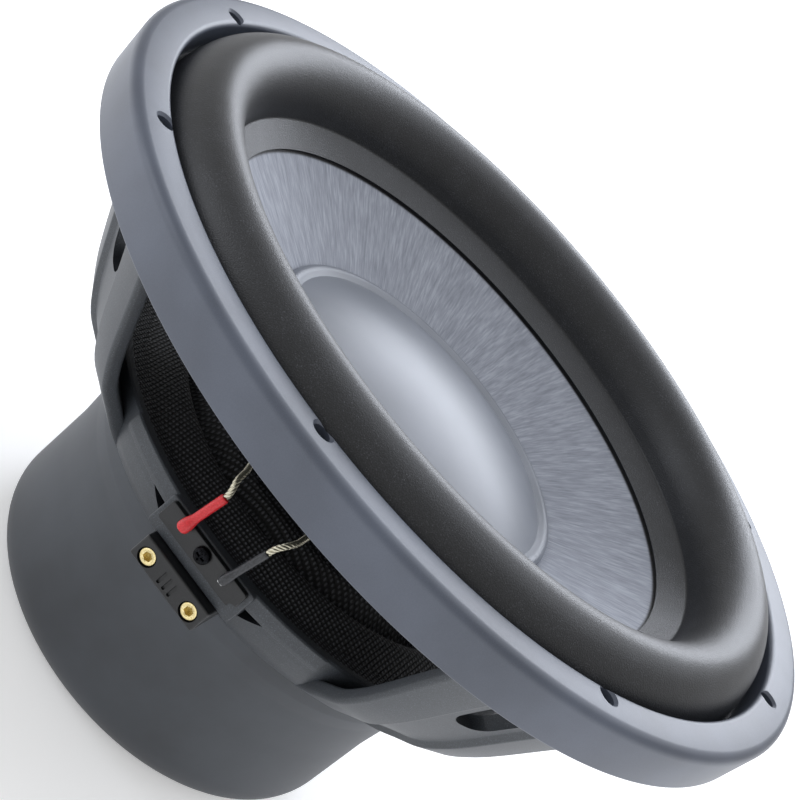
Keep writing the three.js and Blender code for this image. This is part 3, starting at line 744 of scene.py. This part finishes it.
def makeBasket(d):
    top = d["height"]
    wall = d["rim"] + d["wall"]
    flangeFoot = flangeZ - floorZ - d["flange"]
    piece = turned("basket_casting", bowlOutline(d), looks["basket_coat"], 256, floorZ)
    flange = turned("flange", rounded([
        (d["flangeInner"], flangeFoot, 1.0), (d["flangeOuter"], flangeFoot, 0.8),
        (d["flangeOuter"], flangeFoot + d["flange"], 0.4), (d["flangeInner"], flangeFoot + d["flange"], 0.4),
    ]), None, 256, floorZ)
    angles = [math.pi / 4 + i * math.pi / 2 for i in range(arm["count"])]
    joined(piece, [flange, *[armSolid(a) for a in angles]], "UNION")
    ventTop = top - d["padHeight"] - d["ventBridge"]
    ventRadius = (d["ventHalf"] ** 2 + d["ventDrop"] ** 2) / (2 * d["ventDrop"])
    reach = math.asin(d["ventHalf"] / ventRadius)
    arc = []
    for k in range(d["ventSteps"] + 1):
        a = reach * (2 * k / d["ventSteps"] - 1)
        arc.append((ventRadius * math.sin(a),
                    ventTop + ventRadius - d["ventDrop"] - ventRadius * math.cos(a) + floorZ))
    vent = slab("vent", arc, -108, -d["inner"] + 12)
    joined(piece, [vent, *[armSlot(a) for a in angles]], "DIFFERENCE")
    padFoot = top - d["padHeight"]
    crown = wall + d["padProud"]
    pad = turned("pad", rounded([
        (wall - 2.5, padFoot, 0), (crown - 0.8, padFoot, 0.4), (crown, padFoot + 2, 1.5),
        (crown, top - 0.6, 0.5), (crown - 0.6, top, 0.4), (d["rim"] + 1, top, 0),
    ]), None, 256, floorZ, -90, d["pad"])
    half = (plateHigh.x - plateLow.x) / 2 + d["bossMargin"]
    boss = slab("boss", rectangle(-half, half, blockHigh.z + gap, floorZ + top, 1.2),
                -crown, -d["rim"] - 0.5)
    bevelled(boss, 0.6)
    root = slab("root", rectangle(-half, half, blockHigh.z + gap, floorZ + top - d["shelf"], 1.2),
                -crown + 1, -d["inner"] - 1)
    joined(piece, [pad, boss, root], "UNION")
    pocket = slab("pocket", rectangle(blockLow.x - gap, blockHigh.x + gap, floorZ - 2, blockHigh.z + gap),
                  -120, blockHigh.y + gap)
    bolts = drills(circle(trimRing["holes"], trimRing["holeCircle"]), d["boltHole"], flangeZ - 20,
                   flangeZ + 5)
    screws = drills(circle(d["screws"], d["screwCircle"]), d["screwHole"], floorZ - 1,
                    floorZ + d["floor"] + 1, 0, 24)
    joined(piece, [pocket, bolts, screws], "DIFFERENCE")
    place(piece, "frame", "basket", "basket_coat")


makeBasket(basket)
print("basket made")


# ---- motor ----
motorCover = {"wall": 2.0, "floor": 4.4, "corner": 15.0, "mouth": 20.0, "flare": 22.0}
yoke = {"vent": 15.0, "plate": 14.0, "edge": 5.0, "pole": 36.9}


def makeMotor(d, y):
    edge, top = high("motor_cover").x, high("motor_cover").z
    inner, shoulder, back = high("magnet_1").x + gap, high("top_plate").x + gap, high("yoke").x + gap
    backZ, magnetZ = low("yoke").z, low("magnet_1").z
    line = rounded([
        (d["mouth"], 0, 0.6), (inner + d["wall"], 0, d["corner"]),
        (inner + d["wall"], topPlateZ - d["flare"], 60), (edge - 1.2, topPlateZ - 4, 12),
        (edge, topPlateZ + 2, 5), (edge, top, 1.0), (shoulder, top, 0.2), (shoulder, topPlateZ - gap, 0),
        (inner, topPlateZ - gap, 0), (inner, magnetZ, 0), (back, magnetZ - gap, 0), (back, backZ + 5, 2),
        (back - 5.3, d["floor"], 2), (d["mouth"], d["floor"], 0.5),
    ], 6)
    place(turned("motor_cover_boot", line, looks["cover_rubber"], 224), "frame", "motor_cover",
          "cover_rubber")
    radius, poleTop = high("yoke").x, high("yoke").z
    line = rounded([
        (y["vent"], backZ + 4, 1), (y["vent"] + 4, backZ, 1), (radius - y["edge"], backZ, 1),
        (radius, backZ + y["edge"], 1.5), (radius, backZ + y["plate"], 0.4),
        (y["pole"], backZ + y["plate"], 0), (y["pole"], poleTop, 1.2),
        (y["vent"] + 3, poleTop, 0.5), (y["vent"], poleTop - 3, 1),
    ])
    place(turned("yoke_forging", line, looks["plate_steel"], 160), "frame", "yoke", "plate_steel")


makeMotor(motorCover, yoke)
print("motor made")


# ---- wire terminal ----
terminal = {"plateFillet": 1.2, "scoop": 2.0, "screwHead": 3.0, "screwRise": 2.0, "screwShank": 1.5,
            "cross": 3.6, "crossSlot": 0.75, "blockEdge": 0.9, "bore": 3.45, "wireSlot": 7.4,
            "slotBack": 2.0, "slotDeep": 8.4, "roof": 1.4, "grooves": 3, "groovePitch": 2.6,
            "groove": (1.2, 5.2), "grooveDeep": 0.8, "screw": 3.1, "screwEdge": 0.55, "socket": 3.0,
            "socketDepth": 3.2, "stud": 1.2, "thread": 1.0}


# Turns a piece made round +Z so that it looks along -Y, at (x, y, z) in mm.
def facingOut(piece, x, y, z):
    piece.data.transform(Matrix.Translation(Vector((x, y, z)) * mm) @ Matrix.Rotation(math.pi / 2, 4, "X"))
    return piece


def middleOf(node):
    return (low(node) + high(node)) / 2


def makeTerminalPlate(d):
    piece = slab("terminal_plate_moulding",
                 rectangle(plateLow.x, plateHigh.x, plateLow.z, plateHigh.z, d["plateFillet"]),
                 plateLow.y, plateHigh.y, looks["terminal_plastic"])
    bevelled(piece, 0.35, 2)
    spot = middleOf("terminal_screw")
    hole = slab("hole", disc(d["screwShank"] + 0.4, 24, 0, spot.z), plateLow.y - 2, plateHigh.y + 2)
    scoop = slab("scoop", disc(d["scoop"], 32, plateHigh.x - 0.4, plateLow.z + 0.6),
                 plateLow.y - 2, plateHigh.y + 2)
    joined(piece, [hole, scoop], "DIFFERENCE")
    place(piece, "frame", "terminal_plate", "terminal_plastic")


# A pan head with a crossed recess.
def makeTerminalScrew(d):
    spot = middleOf("terminal_screw")
    head, rise = d["screwHead"], d["screwRise"]
    deep = high("terminal_screw").y - plateLow.y + gap
    line = [(0, -deep), (d["screwShank"], -deep), (d["screwShank"], 0), (head - 0.1, 0), (head, 0.25)]
    line += [(head * math.cos(a), 0.45 + (rise - 0.45) * math.sin(a)) for a in
             (math.pi / 2 * k / 10 for k in range(10))] + [(0, rise)]
    piece = facingOut(turned("terminal_screw_pan_head", line, looks["black_screw"], 64), 0,
                      plateLow.y - gap, spot.z)
    face = plateLow.y - gap - rise
    half, slot = d["cross"] / 2, d["crossSlot"] / 2
    bars = [slab("bar", rectangle(-a, a, spot.z - b, spot.z + b), face - 1, face + 1.1)
            for a, b in ((half, slot), (slot, half))]
    joined(piece, bars, "DIFFERENCE")
    place(piece, "frame", "terminal_screw", "black_screw")


def makeTerminalBlock(d):
    piece = slab("terminal_block_moulding", rectangle(blockLow.x, blockHigh.x, blockLow.z, blockHigh.z),
                 blockLow.y, blockHigh.y, looks["terminal_plastic"])
    bevelled(piece, d["blockEdge"], 3)
    back = blockHigh.y - d["slotBack"]
    tools = []
    for side in ("positive", "negative"):
        spot = middleOf("clamp_screw_" + side)
        tools.append(slab("bore", disc(d["bore"], 48, spot.x, spot.z), blockLow.y - 2,
                          back - d["slotDeep"] + 1))
        half = d["wireSlot"] / 2
        tools.append(slab("wire_slot", rectangle(spot.x - half, spot.x + half, blockLow.z - 1,
                                                 blockHigh.z - d["roof"]), back - d["slotDeep"], back))
    wide, long = d["groove"]
    mid = middleOf("clamp_screw_positive").z
    for i in range(d["grooves"]):
        x = (i - (d["grooves"] - 1) / 2) * d["groovePitch"]
        outline = rectangle(x - wide / 2, x + wide / 2, mid - long / 2, mid + long / 2, 0.5)
        tools.append(slab("groove", outline, blockLow.y - 1, blockLow.y + d["grooveDeep"]))
    joined(piece, tools, "DIFFERENCE")
    place(piece, "frame", "terminal_block", "terminal_plastic")


def makeClampScrew(side, d):
    node = "clamp_screw_" + side
    spot = middleOf(node)
    face, back = low(node).y, high(node).y
    long = back - face
    r, edge = d["screw"], d["screwEdge"]
    line = [(0, -long), (d["stud"], -long), (d["stud"], -long + 2.6), (r - 0.5, -long + 2.6)]
    pitch = d["thread"]
    start = -long + 3.0
    turns = int((-1.2 - start) / pitch)
    for i in range(turns):
        z = start + i * pitch
        line += [(r - 0.5, z), (r - 0.02, z + pitch / 2)]
    line += [(r - 0.4, start + turns * pitch), (r, -1.1), (r, -edge), (r - edge * 0.4, -0.12),
             (r - edge, 0), (1.95, 0), (1.75, -0.15), (0, -0.16)]
    piece = facingOut(turned(node + "_turned", line, looks["plated_brass"], 64), spot.x, face, spot.z)
    hexagon = disc(d["socket"] / math.sqrt(3), 6, spot.x, spot.z, math.pi / 6)
    joined(piece, [slab("socket", hexagon, face - 1, face + d["socketDepth"])], "DIFFERENCE")
    place(piece, "screw_" + side, node, "plated_brass")


makeTerminalPlate(terminal)
makeTerminalScrew(terminal)
makeTerminalBlock(terminal)
for side in ("positive", "negative"):
    makeClampScrew(side, terminal)
print("wire terminal made")


# ---- sleeves and leads ----
leads = {
    "positive": {"turn": -1, "lean": 1.6, "slot": "sleeve_red", "bulb": 2.25, "barrel": 1.6},
    "negative": {"turn": 1, "lean": 2.4, "slot": "sleeve_dark", "bulb": 1.7, "barrel": 1.35},
}
leadSize = {"sleeve": 17.5, "stand": 2.55, "sink": 0.9, "bulbEnd": 7, "neck": 4, "nose": 1.6,
            "radius": 1.15, "strands": 4, "strand": 0.56, "pitch": 6.0, "tab": 1.1}


def sleeveEnds(side, d):
    tab = "lug_" + side
    face = high(tab).y
    foot = Vector((middleOf(tab).x, face - d["stand"], high(tab).z + gap))
    top = Vector((foot.x + leads[side]["lean"], face - 0.4, foot.z + d["sleeve"]))
    return foot, top


def makeSleeve(side, d):
    row = leads[side]
    foot, top = sleeveEnds(side, d)
    foot.z -= d["sink"]
    route = smoothRoute([foot, foot.lerp(top, 0.3) + Vector((0, 0.15, 0)), foot.lerp(top, 0.7), top], 0.5)
    radii = []
    for spot in route:
        along = (spot - foot).length
        swell = min(1, max(0, (d["bulbEnd"] - along) / d["neck"]))
        bulb = row["barrel"] + (row["bulb"] - row["barrel"]) * swell * swell * (3 - 2 * swell)
        nose = math.sqrt(max(0.04, 1 - max(0, 1 - along / d["nose"]) ** 2))
        lip = 1 - 0.12 * max(0, 1 - (top - spot).length / 0.5)
        radii.append(bulb * nose * lip)
    slot = row["slot"]
    piece = makeMesh("sleeve_" + side + "_shrunk", *tubePoints(route, radii, 36), looks[slot], 60)
    place(piece, "frame", "sleeve_" + side, slot)
    tab = "lug_" + side
    a, b, mid = low(tab), high(tab), middleOf(tab)
    blade = slab(tab + "_blade", rectangle(mid.x - d["tab"], mid.x + d["tab"], a.z, b.z + 0.2, 0.4),
                 a.y, b.y, looks["tinned_lug"])
    place(blade, "frame", tab, "tinned_lug")


# The lead's own line, from the sleeve's top to the eyelet through listed points, with four strands laid round
# it.
def makeLead(side, d):
    start = sleeveEnds(side, d)[1]
    hook = leads[side]["turn"]
    eyelet = middleOf("lead_eyelet_" + side)
    end = Vector((eyelet.x, eyelet.y, low("lead_eyelet_" + side).z))
    knots = [
        start + Vector((0, 0, gap)),
        start + Vector((0.5 * hook, 0.4, 3)),
        start + Vector((2 * hook, 2.2, 5.8)),
        start + Vector((3 * hook, 7.5, 7)),
        Vector((end.x + 2 * hook, end.y - 12, start.z + 6.4)),
        Vector((end.x + 0.3 * hook, end.y - 0.6, end.z - 5.4)),
        Vector((end.x, end.y, end.z - gap)),
    ]
    route = smoothRoute(knots, 0.6)
    parts = []
    run = 0.0
    turns = []
    for i, spot in enumerate(route):
        run += (spot - route[i - 1]).length if i else 0
        turns.append(turn * run / d["pitch"])
    lay = d["radius"] - d["strand"]
    for k in range(d["strands"]):
        strand = [here + (side1 * math.cos(a + turn * k / d["strands"])
                          + side2 * math.sin(a + turn * k / d["strands"])) * lay
                  for (here, side1, side2), a in zip(frames(route), turns)]
        parts.append(tubePoints(strand, d["strand"], 10))
    piece = makeMesh("lead_" + side + "_braid", *gather(parts), looks["tinsel_braid"], 70)
    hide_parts("lead_" + side)
    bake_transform(piece)


for side in leads:
    makeSleeve(side, leadSize)
    makeLead(side, leadSize)
print("sleeves and leads made")


# ---- vent gauze ----
gauze = {"wire": 0.24, "pitch": 1.5, "slant": 50.0, "backing": 0.3}


# Two slanting families of wires on the strip's cylinder, in front of a near-black sheet of painted shade that
# stands in for the dark space behind the vent.
def makeGauze(d):
    bottom, top = low("vent_gauze").z, high("vent_gauze").z
    radius = math.hypot(low("vent_gauze").x, high("vent_gauze").y)
    half = math.asin(min(1, high("vent_gauze").x / radius)) * radius
    backing = turned("vent_gauze_woven", [(radius - 0.75, bottom), (radius - 0.75 + d["backing"], bottom),
                                          (radius - 0.75 + d["backing"], top), (radius - 0.75, top)],
                     looks["gauze_shade_sheet"], 200, 0, -90, math.degrees(2 * half / radius))
    parts = []
    for hand, depth in ((1, radius - 0.3), (-1, radius - 0.42)):
        slope = math.tan(math.radians(d["slant"])) * hand
        step = d["pitch"] / math.cos(math.radians(90 - d["slant"]))
        count = int((half + (top - bottom) / abs(slope)) / step) + 1
        for i in range(-count, count + 1):
            line = []
            for k in range(9):
                z = bottom + (top - bottom) * k / 8
                along = i * step + (z - (bottom + top) / 2) / slope
                if abs(along) < half:
                    a = along / radius - math.pi / 2
                    line.append(Vector((depth * math.cos(a), depth * math.sin(a), z)))
            if len(line) > 1:
                parts.append(tubePoints(line, d["wire"], 6))
    wires = makeMesh("wires", *gather(parts), looks["gauze"])
    backing.data.materials.append(looks["gauze"])
    work = bmesh.new()
    work.from_mesh(backing.data)
    start = len(work.faces)
    work.from_mesh(wires.data)
    work.faces.ensure_lookup_table()
    for face in work.faces[start:]:
        face.material_index = 1
    work.to_mesh(backing.data)
    work.free()
    bpy.data.objects.remove(wires)
    smoothEdges(backing.data)
    place(backing, "frame", "vent_gauze", "gauze")


makeGauze(gauze)
print("gauze made")


# ---- parts that keep the frame's own shape ----
kept = {
    "magnet_1": "ferrite", "magnet_2": "ferrite", "top_plate": "plate_steel",
    "shorting_ring": "ring_aluminium", "vent_screen": "screen_wire", "spider_ring": "terminal_plastic",
    "basket_screw_1": "black_screw", "basket_screw_2": "black_screw", "basket_screw_3": "black_screw",
    "basket_screw_4": "black_screw", "clamp_jaw_positive": "plated_brass",
    "clamp_jaw_negative": "plated_brass", "contact_positive": "plated_brass",
    "contact_negative": "plated_brass",
    "lead_eyelet_positive": "tinned_lug", "lead_eyelet_negative": "tinned_lug",
}
for node, slot in kept.items():
    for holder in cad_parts[node].material_slots:
        holder.material = looks[slot]
print("kept parts given their finish:", len(kept))


# ---- stage, light and camera ----
stage = {"floor": 60.0, "floorTone": "fdfdfd", "glow": 0.35, "world": 0.6}
# place counts from the speaker's front, in mm above it, from the front face's centre
camera = {"lens": 80.6, "place": (49.9, -578.6, 204.3), "yaw": 95.73, "pitch": -22.78, "roll": -50.11,
          "sensor": 36}
lights = [
    {"name": "back softbox", "place": (-0.1, 2.1, 1.05), "size": (1.5, 0.7), "power": 26},
    {"name": "left fill", "place": (-1.9, -0.6, 0.7), "size": (0.8, 1.0), "power": 7},
]
skylight = {"strength": 1.5, "angle": 70.0, "tilt": (-28, 8, 0)}
coolWhite = "f0f5ff"
lightAim = (0, 0, 0.1)


def makeStage(d):
    half = d["floor"] / 2
    mesh = bpy.data.meshes.new("floor")
    mesh.from_pydata([(-half, -half, -0.0002), (half, -half, -0.0002), (half, half, -0.0002),
                      (-half, half, -0.0002)], [], [(0, 1, 2, 3)])
    floor = bpy.data.objects.new("floor", mesh)
    bpy.context.scene.collection.objects.link(floor)
    material, _, shader, _ = newMaterial("studio paper, rolled", 0.9)
    shader.inputs["Base Color"].default_value = hexColour(d["floorTone"])
    shader.inputs["Emission Color"].default_value = hexColour(d["floorTone"])
    shader.inputs["Emission Strength"].default_value = d["glow"]
    mesh.materials.append(material)
    world = bpy.data.worlds.new("studio")
    bpy.context.scene.world = world
    world.use_nodes = True
    world.node_tree.nodes["Background"].inputs["Color"].default_value = (1, 1, 1, 1)
    world.node_tree.nodes["Background"].inputs["Strength"].default_value = d["world"]


def makeLights(rows):
    for row in rows:
        data = bpy.data.lights.new(row["name"], "AREA")
        data.shape = "RECTANGLE"
        data.size, data.size_y = row["size"]
        data.energy = row["power"]
        data.color = hexColour(coolWhite)[:3]
        lamp = bpy.data.objects.new(row["name"], data)
        lamp.location = row["place"]
        aim = Vector(lightAim) - Vector(row["place"])
        lamp.rotation_mode = "QUATERNION"
        lamp.rotation_quaternion = aim.to_track_quat("-Z", "Y")
        bpy.context.scene.collection.objects.link(lamp)


# A wide soft light from overhead, even over the whole floor.
def makeSkylight(d):
    data = bpy.data.lights.new("skylight", "SUN")
    data.energy = d["strength"]
    data.angle = math.radians(d["angle"])
    data.color = hexColour(coolWhite)[:3]
    lamp = bpy.data.objects.new("skylight", data)
    lamp.rotation_euler = [math.radians(a) for a in d["tilt"]]
    bpy.context.scene.collection.objects.link(lamp)


def makeCamera(d):
    data = bpy.data.cameras.new("camera")
    data.lens = d["lens"]
    data.sensor_width = d["sensor"]
    made = bpy.data.objects.new("camera", data)
    yaw, pitch = math.radians(d["yaw"]), math.radians(d["pitch"])
    ahead = Vector((math.cos(yaw) * math.cos(pitch), math.sin(yaw) * math.cos(pitch), math.sin(pitch)))
    upright = ahead.to_track_quat("-Z", "Y").to_matrix()
    spot = Vector(d["place"]) + Vector((0, 0, frontZ))
    made.matrix_world = Matrix.Translation(spot * mm) @ (
        Matrix.Rotation(math.radians(d["roll"]), 3, ahead) @ upright
    ).to_4x4()
    bpy.context.scene.collection.objects.link(made)
    bpy.context.scene.camera = made


makeStage(stage)
makeLights(lights)
makeSkylight(skylight)
makeCamera(camera)
bpy.context.scene.view_settings.view_transform = "Standard"

print("stage, light and camera set")
